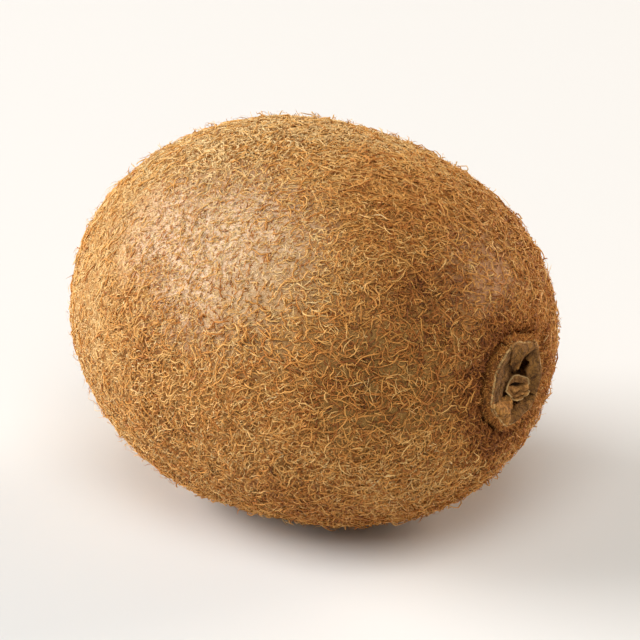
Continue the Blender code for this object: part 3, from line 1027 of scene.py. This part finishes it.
def buttonMaterial():
    colours = tuft["colours"]
    paint = Paint("blossomButton")
    base = paint.mix(paint.clouds(0.0007, 4).between(0.35, 0.68), *colours["button"])
    # painted shade in the creases
    base = paint.mix(paint.threads(0.0008, 0.06) * 0.6, base, colours["crease"])
    return paint.finish(Base_Color=base, Roughness=0.8, Normal=paint.bump(paint.clouds(0.0004, 4, 0.6), 0.0002))


def makeButton():
    turns, rows = tuft["turns"], tuft["rows"]
    middleY, middleZ = tuft["middle"]
    foot = tuft["profile"][0][0]
    points = [(tuft["face"] - tuft["crown"], middleY, middleZ)]
    for row in range(rows):
        radius, height = pathPoint(tuft["profile"], 1 - row / (rows - 1))
        for k in range(turns):
            turn = k / turns * math.tau
            spot = Vector((math.cos(turn) * radius, math.sin(turn) * radius, height))
            lump = noise.fractal(spot * 1.6, 0.9, 2.0, 3) * tuft["lumps"]
            lump += tuft["ribs"] * math.sin(turn * 13) * radius / 2.4
            points.append((
                tuft["face"] - (height + lump * min(1, foot - radius + 0.3)) * 0.001,
                middleY + (radius + lump) * 0.001 * math.cos(turn),
                middleZ + (radius + lump) * 0.001 * math.sin(turn),
            ))
    quads = ringQuads(rows, turns, 1)
    tips = fan(0, 1, turns)[:, [0, 2, 1]]
    button = meshObject("blossomButton", np.array(points), quads, tips, buttonMaterial())
    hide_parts("style_tuft")


def makeStyles(material):
    count = tuft["styles"]
    turn = np.arange(count) / count * math.tau * tuft["whorls"] + dice.normal(0, 0.15, count)
    reach = dice.uniform(0.0003, 0.0016, count)
    out = np.stack([np.zeros(count), np.cos(turn), np.sin(turn)], 1)
    roots = np.array([tuft["face"] - 0.0007, *tuft["middle"]]) + out * reach[:, None]
    ahead = out * dice.uniform(0.5, 1.5, (count, 1)) + np.array([-0.8, 0, 0]) + dice.normal(0, 0.15, (count, 3))
    paths = growFree(roots, ahead, dice.uniform(*tuft["styleLength"], count), 0.22, 8)
    paths[..., 0] = np.maximum(paths[..., 0], tuft["end"])
    tone = dice.normal(*tuft["styleTone"], count)
    width = dice.uniform(*tuft["styleWidth"], count)
    strandMesh("witheredStyles", paths, width, tone, anyTurn(count), 3, material)


# Camera, floor and light

view = {
    "azimuth": 38.1,
    "elevation": 23.6,
    "distance": 0.504,
    "aimRight": 0.00397,  # the picture's middle from the widest ring's centre
    "aimDown": 0.00089,
    "lens": 215.6,
}


def makeCamera():
    turn, tilt = math.radians(view["azimuth"]), math.radians(view["elevation"])
    back = Vector((math.sin(turn) * math.cos(tilt), -math.cos(turn) * math.cos(tilt), math.sin(tilt)))
    right = Vector((math.cos(turn), math.sin(turn), 0))
    up = back.cross(right)
    aim = Vector(body["centre"]) + right * view["aimRight"] - up * view["aimDown"]
    data = bpy.data.cameras.new("photoCamera")
    data.lens = view["lens"]
    data.sensor_width = 36
    data.clip_start = 0.01
    camera = bpy.data.objects.new("photoCamera", data)
    camera.location = aim + back * view["distance"]
    camera.rotation_euler = back.to_track_quat("Z", "Y").to_euler()
    bpy.context.scene.collection.objects.link(camera)
    bpy.context.scene.camera = camera


studio = {
    "lights": {
        "side": {"towards": (-0.795, -0.465, 0.390), "watts": 73, "colour": (1, 0.965, 0.94)},
        "front": {"towards": (0.345, -0.440, 0.829), "watts": 30.5, "colour": (0.98, 1, 0.98)},
        "back": {"towards": (0.350, 0.872, 0.342), "watts": 39, "colour": (1, 0.84, 0.70)},
    },
    "boxSize": 1.45,
    "boxDistance": 2.2,
    "room": [  # colour of the room by height, 0 at the horizon and 1 overhead
        (0.00, (0.860, 0.850, 0.820)),
        (0.05, (0.780, 0.770, 0.740)),
        (0.14, (0.096, 0.090, 0.078)),
        (1.00, (0.096, 0.090, 0.078)),
    ],
    "floor": ((0.752, 0.756, 0.755), (0.762, 0.764, 0.764)),
    "floorRadius": 1.9,
    "floorCorners": 96,
}


def makeLight(name, look):
    towards = Vector(look["towards"]).normalized()
    data = bpy.data.lights.new(name, "AREA")
    data.shape = "SQUARE"
    data.size = studio["boxSize"]
    data.energy = look["watts"]
    data.color = look["colour"]
    lamp = bpy.data.objects.new(name, data)
    lamp.location = Vector(body["centre"]) + towards * studio["boxDistance"]
    lamp.rotation_euler = towards.to_track_quat("Z", "Y").to_euler()
    bpy.context.scene.collection.objects.link(lamp)


def makeRoom():
    room = Paint("paleRoom", "worlds")
    height = room.split(room.node("ShaderNodeTexCoord").also("Generated")).also("Z")
    glow = room.node("ShaderNodeBackground", {}, {"Color": room.ramp(height, studio["room"])})
    room.node("ShaderNodeOutputWorld", {}, {"Surface": glow})
    bpy.context.scene.world = room.material
    bpy.context.scene.view_settings.view_transform = "Standard"


def makeFloor():
    paint = Paint("paleFloor")
    tint = paint.mix(paint.clouds(0.25, 2), *studio["floor"])
    corners = studio["floorCorners"]
    turns = np.arange(corners) / corners * math.tau
    points = np.stack([np.cos(turns), np.sin(turns), 0 * turns], 1) * studio["floorRadius"]
    mesh = bpy.data.meshes.new("floor")
    mesh.from_pydata(points.tolist(), [], [tuple(range(corners))])
    mesh.materials.append(paint.finish(Base_Color=tint, Roughness=0.85))
    plane = bpy.data.objects.new("floor", mesh)
    bpy.context.scene.collection.objects.link(plane)


makeCamera()
for lightName, lightLook in studio["lights"].items():
    makeLight(lightName, lightLook)
makeRoom()
makeFloor()
print("camera and studio ready")
skinFaces = makeSkin()
print("skin ready")
coat = hairMaterial()
feltCoat(skinFaces, coat)
dashCoat(skinFaces, coat)
wiryCoat(skinFaces, coat)
wispCoat(skinFaces, coat)
scarCollar(skinFaces, coat)
print("hair ready")
makeCalyx()
calyxFuzz(coat)
makeStub()
print("calyx and stem stub ready")
makeButton()
makeStyles(coat)
print("style tuft ready")
